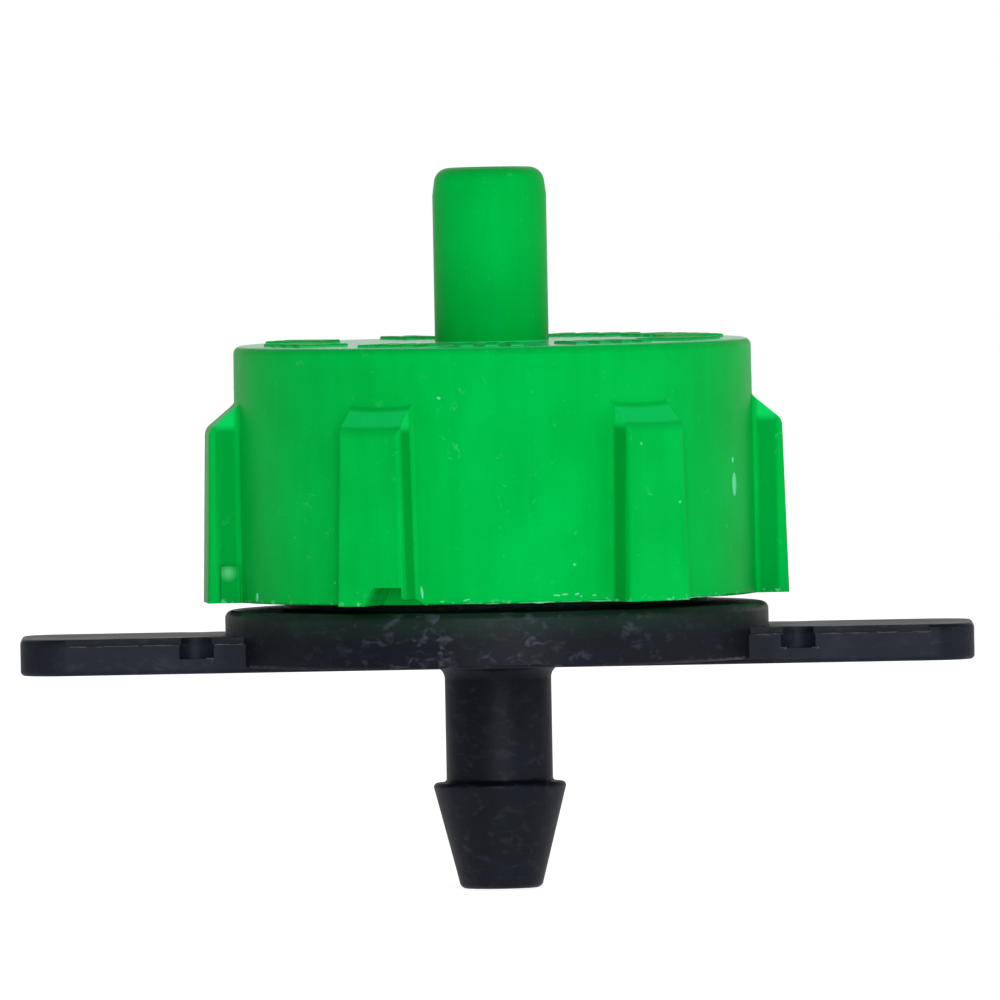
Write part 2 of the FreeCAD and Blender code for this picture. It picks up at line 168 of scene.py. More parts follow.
@dataclass(frozen=True)
class Finish:
    """A finish that becomes one node material.

    Attributes:
        name: The material's name.
    """

    name: str

    def sockets(self, tree: Tree, place: Socket) -> dict[str, object]:
        """Adds the finish's patterns.

        Args:
            tree: The material's node tree.
            place: The part's own coordinates, in metres.

        Returns:
            Values and outputs by the name of the shader's socket.
        """
        raise NotImplementedError

    def material(self) -> bpy.types.Material:
        """Builds the node material."""
        material = bpy.data.materials.new(self.name)
        material.use_nodes = True
        tree = material.node_tree
        tree.nodes.clear()
        place = add_node(tree, "TexCoord", output="Object")
        shader = add_node(tree, "BsdfPrincipled", inputs=self.sockets(tree, place))
        add_node(tree, "OutputMaterial", inputs={"Surface": shader})
        return material


@dataclass(frozen=True)
class MouldedPolypropylene(Finish):
    """Dyed polypropylene, injection moulded in a polished mould.

    It gives the eye a saturated, slightly waxy green with soft highlights, faint flow marks along
    the draw of the mould, dust specks under the skin, scuffs, and pale stress marks on the rim. On
    the cap it also has painted shade on the ribs' flanks and the nipple's foot, painted light on
    the ribs' sloped tops and the top plate, and a painted glint on the pad at one rib's foot.

    Attributes:
        colour: The dye's colour.
        deep_colour: The colour where the dye is mixed in better.
        flank_painted_shade_colour: The painted shade on the ribs' flanks and at the nipple's foot.
        slope_painted_light_colour: The painted light on the ribs' sloped tops.
        plate_painted_light_colour: The painted light on the top plate, which is paler between its
            ticks.
        pale_colour: The colour of specks, scuffs, stress marks and the pad's painted glint.
        roughness: The gloss of a clean patch.
        gloss_spread: How far the gloss strays from that.
        sheen: The strength of the reflections, where 0.5 is that of clear plastic.
        sheen_tint: The tint that the dye gives to straight reflections.
        depth_share: How much light passes below the skin, from 0 to 1.
        depth_tint: How far each colour of light travels there, as shares of depth_mm.
        depth_mm: How far light travels below the skin.
        patch_mm: The size of the patches of deeper colour.
        flow_mm: The width of a flow mark.
        flow_draw: How many times longer than wide a flow mark is.
        flow_share: How much the flow marks count in the dye's mix, from 0 to 1.
        dye_range: The pattern values at which the dye is deepest and palest.
        speck_cell_mm: The mean distance between specks.
        speck_radius_mm: The size of the largest specks.
        speck_odds: The draws at which a speck is faintest and strongest.
        speck_strength: How pale the strongest specks are.
        scuff_mm: The size of a scuff.
        scuff_range: The pattern values at which a scuff starts and is palest.
        scuff_strength: How pale the palest scuffs are.
        wave_mm: The length of the skin's gentle waves.
        wave_depth_mm: The height of those waves.
        grain_mm: The size of the skin's fine grain.
        grain_depth_mm: The height of the grain.
        rim_mm: The height of the rim that is stress-marked, or None.
        rim_mark_mm: How far over the rim the stress marks start to fade and end.
        rim_mark_size_mm: The size of a stress mark.
        rim_mark_range: The pattern values at which a stress mark starts and is palest.
        rim_mark_strength: How pale the stress marks are.
        pad_glint_mm: The middle of the painted glint on the top of the pad at one rib's foot.
        pad_glint_radii_mm: The radii at which the pad's painted glint starts to fade and ends.
        pad_glint_strength: How pale the pad's painted glint is.
        plate_mm: The height of the cap's top plate, or None where there is no plate and no rib.
        plate_skin_mm: How far from that height a surface still counts as the plate.
        plate_roughness: The gloss of the polished top plate.
        flank_mm: Where the ribs' flanks start and end, as radii.
        flank_fade_mm: The width over which the flanks' painted shade comes and goes.
        slope_drop_mm: How far below the top plate the ribs' sloped tops end.
        slope_fade_mm: Where the slopes' painted light starts and is whole, from the slopes' end.
        nipple_mm: The radius of the nipple.
        nipple_skin_mm: How far beyond the nipple its foot's painted shade starts to fade and ends.
        nipple_foot_mm: How far up the nipple the painted shade at its foot reaches.
        nipple_painted_shade_strength: How dark the painted shade at the nipple's foot is at its
            lowest.
    """

    name: str = "polypropylene_moulded_green"
    colour: str = "#00CE50"
    deep_colour: str = "#00C347"
    flank_painted_shade_colour: str = "#00AE3C"
    slope_painted_light_colour: str = "#10E66C"
    plate_painted_light_colour: str = "#34E286"
    pale_colour: str = "#78EFA6"
    roughness: float = 0.43
    gloss_spread: Range = (-0.04, 0.05)
    sheen: float = 0.07
    sheen_tint: Colour = (0.0, 1.0, 0.8, 1.0)
    depth_share: float = 0.1
    depth_tint: Triple = (0.15, 1.0, 0.3)
    depth_mm: float = 0.5
    patch_mm: float = 3.2
    flow_mm: float = 0.6
    flow_draw: float = 7.0
    flow_share: float = 0.35
    dye_range: Range = (0.36, 0.62)
    speck_cell_mm: float = 1.5
    speck_radius_mm: float = 0.075
    speck_odds: Range = (0.55, 0.95)
    speck_strength: float = 0.8
    scuff_mm: float = 0.5
    scuff_range: Range = (0.6, 0.78)
    scuff_strength: float = 0.2
    wave_mm: float = 1.6
    wave_depth_mm: float = 0.016
    grain_mm: float = 0.09
    grain_depth_mm: float = 0.0012
    rim_mm: float | None = None
    rim_mark_mm: Range = (0.05, 0.22)
    rim_mark_size_mm: float = 0.45
    rim_mark_range: Range = (0.56, 0.66)
    rim_mark_strength: float = 0.8
    pad_glint_mm: Triple = (-10.66, -2.42, 8.55)
    pad_glint_radii_mm: Range = (0.05, 0.42)
    pad_glint_strength: float = 0.6
    plate_mm: float | None = None
    plate_skin_mm: float = 0.05
    plate_roughness: float = 0.22
    flank_mm: Range = (10.42, 11.38)
    flank_fade_mm: float = 0.2
    slope_drop_mm: float = 3.25
    slope_fade_mm: Range = (-0.15, 0.25)
    nipple_mm: float = 2.27
    nipple_skin_mm: Range = (0.1, 0.3)
    nipple_foot_mm: float = 4.0
    nipple_painted_shade_strength: float = 0.7

    def sockets(self, tree: Tree, place: Socket) -> dict[str, object]:
        """Adds flow marks, painted shade and light, pale marks and the skin's relief, as in Finish.
        """
        patches = add_node(tree, "TexNoise", inputs=cells(place, self.patch_mm))
        drawn = add_node(tree, "Mapping", inputs={
            "Vector": place, "Scale": (1, 1, 1 / self.flow_draw)})
        flow = add_node(tree, "TexNoise", inputs={**cells(drawn, self.flow_mm), "Detail": 3.0})
        mixed = add_node(tree, "Mix", inputs={0: self.flow_share, 2: patches, 3: flow})
        share = add_node(tree, "MapRange", inputs={"Value": mixed, **between(self.dye_range)})
        surface_colour = add_node(tree, "Mix", COLOURED, {
            0: share, 6: linear(self.deep_colour), 7: linear(self.colour)}, output=2)
        gloss = add_node(tree, "MapRange", inputs={
            "Value": flow, **NOISE_BULK,
            "To Min": self.roughness + self.gloss_spread[0],
            "To Max": self.roughness + self.gloss_spread[1]})
        if self.plate_mm is not None:
            height = add_node(tree, "SeparateXYZ", inputs={0: place}, output="Z")
            on_plate = add_node(tree, "Math", {"operation": "COMPARE"}, {
                0: height, 1: self.plate_mm * MM, 2: self.plate_skin_mm * MM})
            gloss = add_node(tree, "Mix", inputs={
                0: on_plate, 2: gloss, 3: self.plate_roughness})
            flanks, slopes = self.rib_painted_shade_and_light(tree, place, height)
            # Painted shade on the ribs' flanks and the nipple's foot; painted light on the ribs'
            # sloped tops and on the top plate.
            for mask, shade in (
                (flanks, self.flank_painted_shade_colour),
                (slopes, self.slope_painted_light_colour),
                (on_plate, self.plate_painted_light_colour),
            ):
                surface_colour = add_node(tree, "Mix", COLOURED, {
                    0: mask, 6: surface_colour, 7: linear(shade)}, output=2)
        colour = add_node(tree, "Mix", COLOURED, {
            0: self.pale_marks(tree, place), 6: surface_colour, 7: linear(self.pale_colour)}, output=2)
        waves = add_node(tree, "TexNoise", inputs=cells(place, self.wave_mm))
        skin = add_node(tree, "Bump", inputs={"Height": waves, "Distance": self.wave_depth_mm * MM})
        grain = add_node(tree, "TexNoise", inputs=cells(place, self.grain_mm))
        skin = add_node(tree, "Bump", inputs={
            "Height": grain, "Distance": self.grain_depth_mm * MM, "Normal": skin})
        return {
            "Base Color": colour,
            "Roughness": gloss,
            "IOR": 1.49,
            "Specular IOR Level": self.sheen,
            "Specular Tint": self.sheen_tint,
            "Subsurface Weight": self.depth_share,
            "Subsurface Radius": self.depth_tint,
            "Subsurface Scale": self.depth_mm * MM,
            "Normal": skin,
        }

    def rib_painted_shade_and_light(self, tree: Tree, place: Socket, height: Socket) -> tuple[Socket, Socket]:
        """Adds painted shade on ribs' flanks and the nipple's foot, and painted light on ribs'
        slopes.

        Args:
            tree: The material's node tree.
            place: The part's own coordinates, in metres.
            height: The height over the origin, in metres.

        Returns:
            How much of the painted shade and of the painted light shows, from 0 to 1.
        """
        across = add_node(tree, "VectorMath", {"operation": "MULTIPLY"}, {0: place, 1: (1, 1, 0)})
        radius = add_node(tree, "VectorMath", {"operation": "LENGTH"}, {0: across}, output="Value")
        root, crest = self.flank_mm
        off_skirt = add_node(tree, "MapRange", SMOOTH, {
            "Value": radius, "From Min": root * MM, "From Max": (root + self.flank_fade_mm) * MM})
        on_rib = add_node(tree, "MapRange", SMOOTH, {
            "Value": radius, "From Min": (crest - self.flank_fade_mm) * MM, "From Max": crest * MM,
            "To Min": off_skirt, "To Max": 0.0})
        # Painted light on the ribs' sloped tops.
        slope_foot = self.plate_mm - self.slope_drop_mm
        slopes = add_node(tree, "MapRange", SMOOTH, {
            "Value": height, **between(self.slope_fade_mm, MM, slope_foot), "To Max": on_rib})
        # Painted shade on the ribs' flanks, below their sloped tops.
        flanks = add_node(tree, "Math", {"operation": "SUBTRACT"}, {0: on_rib, 1: slopes})
        # Painted shade on the nipple's foot, strongest at the top plate.
        up_nipple = add_node(tree, "MapRange", inputs={
            "Value": height, "From Min": self.plate_mm * MM,
            "From Max": (self.plate_mm + self.nipple_foot_mm) * MM,
            "To Min": self.nipple_painted_shade_strength, "To Max": 0.0})
        foot = add_node(tree, "MapRange", inputs={
            "Value": radius, **between(self.nipple_skin_mm, MM, self.nipple_mm),
            "To Min": up_nipple, "To Max": 0.0})
        painted_shade = add_node(tree, "Math", {"operation": "MAXIMUM"}, {0: flanks, 1: foot})
        return painted_shade, slopes

    def pale_marks(self, tree: Tree, place: Socket) -> Socket:
        """Adds dust specks, faint scuffs and, where there is a rim, its stress marks and the pad's
        painted glint.

        Args:
            tree: The material's node tree.
            place: The part's own coordinates, in metres.

        Returns:
            How much of the pale colour shows, from 0 to 1.
        """
        edge = self.speck_radius_mm / self.speck_cell_mm
        distance = add_node(
            tree, "TexVoronoi", None, cells(place, self.speck_cell_mm), "Distance")
        chance = add_node(tree, "SeparateColor", inputs={0: distance.node.outputs["Color"]})
        strength = add_node(tree, "MapRange", inputs={
            "Value": chance, **between(self.speck_odds),
            "To Max": self.speck_strength})
        specks = add_node(tree, "MapRange", SMOOTH, {
            "Value": distance, "From Min": edge / 3, "From Max": edge,
            "To Min": strength, "To Max": 0.0})
        paled = add_node(tree, "TexNoise", inputs={
            **cells(place, self.scuff_mm), "Detail": 4.0, "Roughness": 0.7, "Distortion": 1.2})
        scuffs = add_node(tree, "MapRange", SMOOTH, {
            "Value": paled, **between(self.scuff_range),
            "To Max": self.scuff_strength})
        pale = add_node(tree, "Math", {"operation": "MAXIMUM"}, {0: specks, 1: scuffs})
        if self.rim_mm is None:
            return pale
        rim_marks_and_glint = self.rim_marks_and_pad_glint(tree, place)
        return add_node(tree, "Math", {"operation": "MAXIMUM"}, {0: pale, 1: rim_marks_and_glint})

    def rim_marks_and_pad_glint(self, tree: Tree, place: Socket) -> Socket:
        """Adds the pale stress marks along the rim and a painted glint on the pad at one rib's
        foot.

        Args:
            tree: The material's node tree.
            place: The part's own coordinates, in metres.

        Returns:
            How much of the pale colour shows, from 0 to 1.
        """
        height = add_node(tree, "SeparateXYZ", inputs={0: place}, output="Z")
        # A painted glint on the top of the pad at one rib's foot.
        from_pad = add_node(tree, "VectorMath", {"operation": "DISTANCE"}, {
            0: place, 1: Vector(self.pad_glint_mm) * MM}, output="Value")
        pad = add_node(tree, "MapRange", SMOOTH, {
            "Value": from_pad, **between(self.pad_glint_radii_mm, MM),
            "To Min": self.pad_glint_strength, "To Max": 0.0})
        near_rim = add_node(tree, "MapRange", SMOOTH, {
            "Value": height, **between(self.rim_mark_mm, MM, self.rim_mm),
            "To Min": self.rim_mark_strength, "To Max": 0.0})
        cracked = add_node(tree, "TexNoise", inputs={
            **cells(place, self.rim_mark_size_mm), "Detail": 3.0, "Roughness": 0.65})
        nicks = add_node(tree, "MapRange", SMOOTH, {
            "Value": cracked, **between(self.rim_mark_range), "To Max": near_rim})
        return add_node(tree, "Math", {"operation": "MAXIMUM"}, {0: pad, 1: nicks})


@dataclass(frozen=True)
class SparkErodedPolyethylene(Finish):
    """Carbon-black polyethylene, injection moulded in a spark-eroded mould.

    It gives the eye a deep blue-black with a fine matt grain. Pale grey rubbed flecks gather on the
    front of the flange, the wings' walls below the ledge are a lighter grey-black, their tips carry
    a painted reflection, and a painted green glow from the cap lies on the flange's upper edge.

    Attributes:
        colour: The colour of the clean plastic.
        haze_colour: The colour of its greyer patches.
        lighter_wall_and_tip_reflection_colour: The lighter colour of the wings' walls, and the
            painted reflection on their tips.
        fleck_colour: The colour of the rubbed flecks.
        green_glow_colour: The colour of the painted green glow from the cap.
        roughness: The gloss of a clean patch.
        gloss_spread: How far the gloss strays from that.
        haze_mm: The size of the greyer patches.
        fleck_mm: The height of a fleck.
        fleck_length: How many times longer than high a fleck is.
        blot_range: The pattern values at which a fleck starts and is whole.
        ring: The pattern value on an open ring's line, and half the line's width.
        ring_strength: How strong the rings are.
        cluster_mm: The size of a cluster of flecks.
        cluster_range: The pattern values at which a cluster starts and is whole.
        stray_strength: How strong the flecks are between the clusters.
        fleck_centre_mm: The middle of the flecked stretch of the flange's front.
        fleck_reach_mm: How far from there the clusters start to thin out and are thinnest.
        far_strength: How strong the thinnest clusters are.
        fleck_depth_mm: How far a fleck stands out.
        wave_mm: The length of the skin's gentle waves.
        wave_depth_mm: The height of those waves.
        grain_mm: The size of the matt grain.
        grain_depth_mm: The height of the grain.
        glow_patch_mm: The size of the glow's uneven patches.
        glow_drop_mm: How far below the flange's top the glow ends and is whole.
        flange_top_mm: The height of the flange's top.
        flange_radius_mm: The flange's radius.
        ledge_mm: The height of the wings' ledges.
        wing_tip_mm: Where the wings' tips start, along X.
        tip_fade_mm: How far out from there their painted reflection is whole.
        wall_fade_mm: How far out from the flange the wings' walls are fully lighter.
        wall_strength: How much lighter those walls are.
    """

    name: str = "polyethylene_moulded_black"
    colour: str = "#080A15"
    haze_colour: str = "#0F121F"
    lighter_wall_and_tip_reflection_colour: str = "#1A1C2A"
    fleck_colour: str = "#3E424C"
    green_glow_colour: str = "#112C20"
    roughness: float = 0.5
    gloss_spread: Range = (-0.05, 0.06)
    haze_mm: float = 2.4
    fleck_mm: float = 0.34
    fleck_length: float = 1.6
    blot_range: Range = (0.52, 0.72)
    ring: Range = (0.55, 0.012)
    ring_strength: float = 0.14
    cluster_mm: float = 2.2
    cluster_range: Range = (0.36, 0.56)
    stray_strength: float = 0.14
    fleck_centre_mm: Triple = (0.4, -10.84, 5.6)
    fleck_reach_mm: Range = (3.0, 7.5)
    far_strength: float = 0.22
    fleck_depth_mm: float = 0.014
    wave_mm: float = 0.9
    wave_depth_mm: float = 0.018
    grain_mm: float = 0.12
    grain_depth_mm: float = 0.006
    glow_patch_mm: float = 1.8
    glow_drop_mm: Range = (1.3, 0.25)
    flange_top_mm: float = 7.0
    flange_radius_mm: float = 10.84
    ledge_mm: float = 5.77
    wing_tip_mm: float = 17.6
    tip_fade_mm: float = 1.2
    wall_fade_mm: float = 0.3
    wall_strength: float = 0.75

    def sockets(self, tree: Tree, place: Socket) -> dict[str, object]:
        """Adds haze, lighter walls, the tips' painted reflection, flecks, the painted green glow
        and grain, as in Finish.
        """
        haze = add_node(tree, "TexNoise", inputs={**cells(place, self.haze_mm), "Detail": 3.0})
        share = add_node(tree, "MapRange", inputs={
            "Value": haze, "From Min": 0.35, "From Max": 0.7})
        clean = add_node(tree, "Mix", COLOURED, {
            0: share, 6: linear(self.colour), 7: linear(self.haze_colour)}, output=2)
        # Lighter walls below the ledge, and a painted reflection on the wings' tips.
        paled = add_node(tree, "Mix", COLOURED, {
            0: self.lighter_walls_and_tip_reflection(tree, place), 6: clean, 7: linear(self.lighter_wall_and_tip_reflection_colour)}, output=2)
        # Painted green glow from the cap on the flange's upper edge.
        with_green_glow = add_node(tree, "Mix", COLOURED, {
            0: self.painted_green_glow(tree, place), 6: paled, 7: linear(self.green_glow_colour)}, output=2)
        flecks = self.flecks(tree, place)
        colour = add_node(tree, "Mix", COLOURED, {
            0: flecks, 6: with_green_glow, 7: linear(self.fleck_colour)}, output=2)
        gloss = add_node(tree, "MapRange", inputs={
            "Value": haze, **NOISE_BULK,
            "To Min": self.roughness + self.gloss_spread[0],
            "To Max": self.roughness + self.gloss_spread[1]})
        waves = add_node(tree, "TexNoise", inputs=cells(place, self.wave_mm))
        skin = add_node(tree, "Bump", inputs={"Height": waves, "Distance": self.wave_depth_mm * MM})
        grain = add_node(tree, "TexNoise", inputs=cells(place, self.grain_mm))
        skin = add_node(tree, "Bump", inputs={
            "Height": grain, "Distance": self.grain_depth_mm * MM, "Normal": skin})
        skin = add_node(tree, "Bump", inputs={
            "Height": flecks, "Distance": self.fleck_depth_mm * MM, "Normal": skin})
        return {
            "Base Color": colour,
            "Roughness": gloss,
            "IOR": 1.51,
            "Specular IOR Level": 0.2,
            "Specular Tint": (0.85, 0.9, 1.0, 1.0),
            "Normal": skin,
        }

    def lighter_walls_and_tip_reflection(self, tree: Tree, place: Socket) -> Socket:
        """Adds the lighter walls of the wings below the ledge, and the painted reflection on their
        tips.

        Args:
            tree: The material's node tree.
            place: The part's own coordinates, in metres.

        Returns:
            How much of the lighter colour and the painted reflection shows, from 0 to 1.
        """
        along = add_node(tree, "SeparateXYZ", inputs={0: place})
        reach = add_node(tree, "Math", {"operation": "ABSOLUTE"}, {0: along})
        beyond_flange = add_node(tree, "MapRange", inputs={
            "Value": reach, "From Min": self.flange_radius_mm * MM,
            "From Max": (self.flange_radius_mm + self.wall_fade_mm) * MM,
            "To Max": self.wall_strength})
        below_ledge = add_node(tree, "MapRange", inputs={
            "Value": along.node.outputs["Z"], "From Min": (self.ledge_mm - 0.04) * MM,
            "From Max": (self.ledge_mm + 0.04) * MM, "To Min": beyond_flange, "To Max": 0.0})
        # The wings' tips: a painted reflection.
        tips = add_node(tree, "MapRange", SMOOTH, {
            "Value": reach, "From Min": self.wing_tip_mm * MM,
            "From Max": (self.wing_tip_mm + self.tip_fade_mm) * MM})
        return add_node(tree, "Math", {"operation": "MAXIMUM"}, {0: below_ledge, 1: tips})

    def painted_green_glow(self, tree: Tree, place: Socket) -> Socket:
        """Adds the painted green glow from the cap on the flange's upper edge.

        Args:
            tree: The material's node tree.
            place: The part's own coordinates, in metres.

        Returns:
            How much of the painted glow shows, from 0 to 1.
        """
        height = add_node(tree, "SeparateXYZ", inputs={0: place}, output="Z")
        uneven = add_node(tree, "TexNoise", inputs=cells(place, self.glow_patch_mm))
        most = add_node(tree, "MapRange", inputs={
            "Value": uneven, **NOISE_BULK, "To Min": 0.5, "To Max": 1.0})
        return add_node(tree, "MapRange", SMOOTH, {
            "Value": height, "From Min": (self.flange_top_mm - self.glow_drop_mm[0]) * MM,
            "From Max": (self.flange_top_mm - self.glow_drop_mm[1]) * MM, "To Max": most})

    def flecks(self, tree: Tree, place: Socket) -> Socket:
        """Adds rubbed flecks: short, mostly level marks and open rings that come in clusters.

        Args:
            tree: The material's node tree.
            place: The part's own coordinates, in metres.

        Returns:
            How much of the fleck colour shows, from 0 to 1.
        """
        level = add_node(tree, "Mapping", inputs={
            "Vector": place, "Scale": (1 / self.fleck_length, 1 / self.fleck_length, 1)})
        marks = add_node(tree, "TexNoise", inputs={
            **cells(level, self.fleck_mm), "Detail": 2.0, "Roughness": 0.55, "Distortion": 0.5})
        blots = add_node(tree, "MapRange", SMOOTH, {"Value": marks, **between(self.blot_range)})
        on_line = add_node(tree, "Math", {"operation": "COMPARE"}, {
            0: marks, 1: self.ring[0], 2: self.ring[1]})
        rings = add_node(tree, "Math", {"operation": "MULTIPLY"}, {
            0: on_line, 1: self.ring_strength})
        both = add_node(tree, "Math", {"operation": "MAXIMUM"}, {0: blots, 1: rings})
        groups = add_node(tree, "TexNoise", inputs={**cells(place, self.cluster_mm), "Detail": 1.0})
        reach = add_node(tree, "VectorMath", {"operation": "DISTANCE"}, {
            0: place, 1: [c * MM for c in self.fleck_centre_mm]}, output="Value")
        near_front = add_node(tree, "MapRange", SMOOTH, {
            "Value": reach, **between(self.fleck_reach_mm, MM),
            "To Min": 1.0, "To Max": self.far_strength})
        grouped = add_node(tree, "MapRange", SMOOTH, {
            "Value": groups, **between(self.cluster_range),
            "To Min": self.stray_strength, "To Max": near_front})
        return add_node(tree, "Math", {"operation": "MULTIPLY"}, {0: both, 1: grouped})


@dataclass(frozen=True)
class MouldedAcetal(Finish):
    """Undyed acetal, injection moulded.

    It gives the eye a milky off-white with a faint depth and a soft, even sheen.

    Attributes:
        colour: The plastic's colour.
        shade: The colour of its slightly yellower patches.
        patch_mm: The size of those patches.
        grain_mm: The size of the skin's grain.
    """

    name: str = "acetal_moulded_natural"
    colour: str = "#E9E7DE"
    shade: str = "#DEDACB"
    patch_mm: float = 2.5
    grain_mm: float = 0.12

    def sockets(self, tree: Tree, place: Socket) -> dict[str, object]:
        """Adds the patches and the grain, as in Finish."""
        patches = add_node(tree, "TexNoise", inputs=cells(place, self.patch_mm))
        share = add_node(tree, "MapRange", inputs={
            "Value": patches, "From Min": 0.35, "From Max": 0.65})
        colour = add_node(tree, "Mix", COLOURED, {
            0: share, 6: linear(self.shade), 7: linear(self.colour)}, output=2)
        gloss = add_node(tree, "MapRange", inputs={
            "Value": patches, **NOISE_BULK, "To Min": 0.34, "To Max": 0.42})
        grain = add_node(tree, "TexNoise", inputs=cells(place, self.grain_mm))
        skin = add_node(tree, "Bump", inputs={"Height": grain, "Distance": 0.002 * MM})
        return {
            "Base Color": colour,
            "Roughness": gloss,
            "IOR": 1.48,
            "Subsurface Weight": 0.25,
            "Subsurface Radius": (1.0, 0.9, 0.7),
            "Subsurface Scale": 0.6 * MM,
            "Normal": skin,
        }


@dataclass(frozen=True)
class MouldedRubber(Finish):
    """Compression-moulded silicone or nitrile rubber.

    It gives the eye a dull skin with a fine talc bloom in patches.

    Attributes:
        colour: The rubber's colour.
        bloom: The colour of the talc.
        roughness: The dullness of the skin.
        depth: How much light passes below the skin, from 0 to 1.
        bloom_mm: The size of a patch of talc.
        grain_mm: The size of the skin's grain.
    """

    colour: str
    bloom: str
    roughness: float
    depth: float
    bloom_mm: float = 0.8
    grain_mm: float = 0.15

    def sockets(self, tree: Tree, place: Socket) -> dict[str, object]:
        """Adds the talc and the grain, as in Finish."""
        talc = add_node(tree, "TexNoise", inputs={
            **cells(place, self.bloom_mm), "Detail": 4.0, "Roughness": 0.65})
        share = add_node(tree, "MapRange", inputs={
            "Value": talc, "From Min": 0.45, "From Max": 0.75})
        colour = add_node(tree, "Mix", COLOURED, {
            0: share, 6: linear(self.colour), 7: linear(self.bloom)}, output=2)
        gloss = add_node(tree, "MapRange", inputs={
            "Value": talc, **NOISE_BULK,
            "To Min": self.roughness - 0.05, "To Max": self.roughness + 0.1})
        grain = add_node(tree, "TexNoise", inputs=cells(place, self.grain_mm))
        skin = add_node(tree, "Bump", inputs={"Height": grain, "Distance": 0.003 * MM})
        return {
            "Base Color": colour,
            "Roughness": gloss,
            "IOR": 1.41,
            "Subsurface Weight": self.depth,
            "Subsurface Radius": (1.0, 0.95, 0.85),
            "Subsurface Scale": 0.4 * MM,
            "Normal": skin,
        }


@dataclass(frozen=True)
class WhitePaper(Finish):
    """Matt white background paper.

    It gives the eye an even white with the faintest fibre, bright as a well-lit studio sweep.

    Attributes:
        colour: The paper's colour.
        fibre_colour: The colour of its fibres.
        fibre_mm: The size of its fibre pattern.
        glow: How brightly light passes through it from behind.
    """

    name: str = "paper_white_matt"
    colour: str = "#F4F4F4"
    fibre_colour: str = "#EFEFEF"
    fibre_mm: float = 1.2
    glow: float = 0.8

    def sockets(self, tree: Tree, place: Socket) -> dict[str, object]:
        """Adds the fibre pattern, as in Finish."""
        fibre = add_node(tree, "TexNoise", inputs=cells(place, self.fibre_mm))
        colour = add_node(tree, "Mix", COLOURED, {
            0: fibre, 6: linear(self.colour), 7: linear(self.fibre_colour)}, output=2)
        return {
            "Base Color": colour,
            "Roughness": 0.9,
            "Emission Color": (1.0, 1.0, 1.0, 1.0),
            "Emission Strength": self.glow,
        }


def new_piece(
    name: str,
    fill: Callable[[Shape], None],
    material: bpy.types.Material,
    body: Body,
) -> bpy.types.Object:
    """Makes one mesh piece in the row frame and lets it ride on a body.

    Args:
        name: The piece's name.
        fill: Fills the mesh.
        material: The piece's material.
        body: The body it rides on.

    Returns:
        The piece.
    """
    shape = bmesh.new()
    fill(shape)
    bmesh.ops.recalc_face_normals(shape, faces=shape.faces)
    mesh = bpy.data.meshes.new(name)
    shape.to_mesh(mesh)
    shape.free()
    mesh.shade_smooth()
    mesh.materials.append(material)
    piece = bpy.data.objects.new(name, mesh)
    bpy.context.scene.collection.objects.link(piece)
    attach(piece, body.value)
    return piece


def dress_node(node: Node, material: bpy.types.Material) -> None:
    """Puts a material on every slot of a CAD node.

    Args:
        node: The CAD node.
        material: Its new material.
    """
    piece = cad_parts[node.value]
    if not piece.material_slots:
        piece.data.materials.append(material)
    for slot in piece.material_slots:
        slot.material = material


def on_wall(azimuth: float, radius_mm: float, height_mm: float) -> Matrix:
    """A place on a round wall about the emitter's axis.

    Args:
        azimuth: Degrees from the front, positive towards +X.
        radius_mm: Distance from the axis.
        height_mm: Height in the row frame.

    Returns:
        The place, with X along the wall, Y out of it and Z up.
    """
    angle = math.radians(azimuth)
    out = Vector((math.sin(angle), -math.cos(angle), 0))
    along = Vector((math.cos(angle), math.sin(angle), 0))
    turn = Matrix((along, out, Vector((0, 0, 1)))).transposed().to_4x4()
    return Matrix.Translation(out * radius_mm * MM + Vector((0, 0, height_mm * MM))) @ turn


def add_dome(
    shape: Shape,
    place: Matrix,
    half_mm: Triple,
    rng: random.Random,
    unevenness: float = 0.0,
) -> None:
    """Adds a small rounded lump.

    Args:
        shape: The mesh that gets it.
        place: Where its middle is.
        half_mm: Its half sizes along the place's X, Y and Z.
        rng: The source of its unevenness.
        unevenness: How far its points stray, as a share of its size.
    """
    scale = Matrix.Diagonal((*(h * MM for h in half_mm), 1.0))
    made = bmesh.ops.create_icosphere(shape, subdivisions=2, radius=1.0, matrix=place @ scale)
    middle = place.translation
    for vert in made["verts"]:
        vert.co = middle + (vert.co - middle) * (1 + rng.uniform(-unevenness, unevenness))


@dataclass(frozen=True)
class Lump:
    """One lump of plastic on a round wall.

    Attributes:
        azimuth: Degrees from the front, positive towards +X.
        radius_mm: Its distance from the axis.
        above_rim_mm: Its height over the cap's rim.
        half_mm: Its half width along the wall and its half height.
        lean: How far it leans to the right, in degrees.
    """

    azimuth: float
    radius_mm: float
    above_rim_mm: float
    half_mm: tuple[float, float]
    lean: float = 0.0


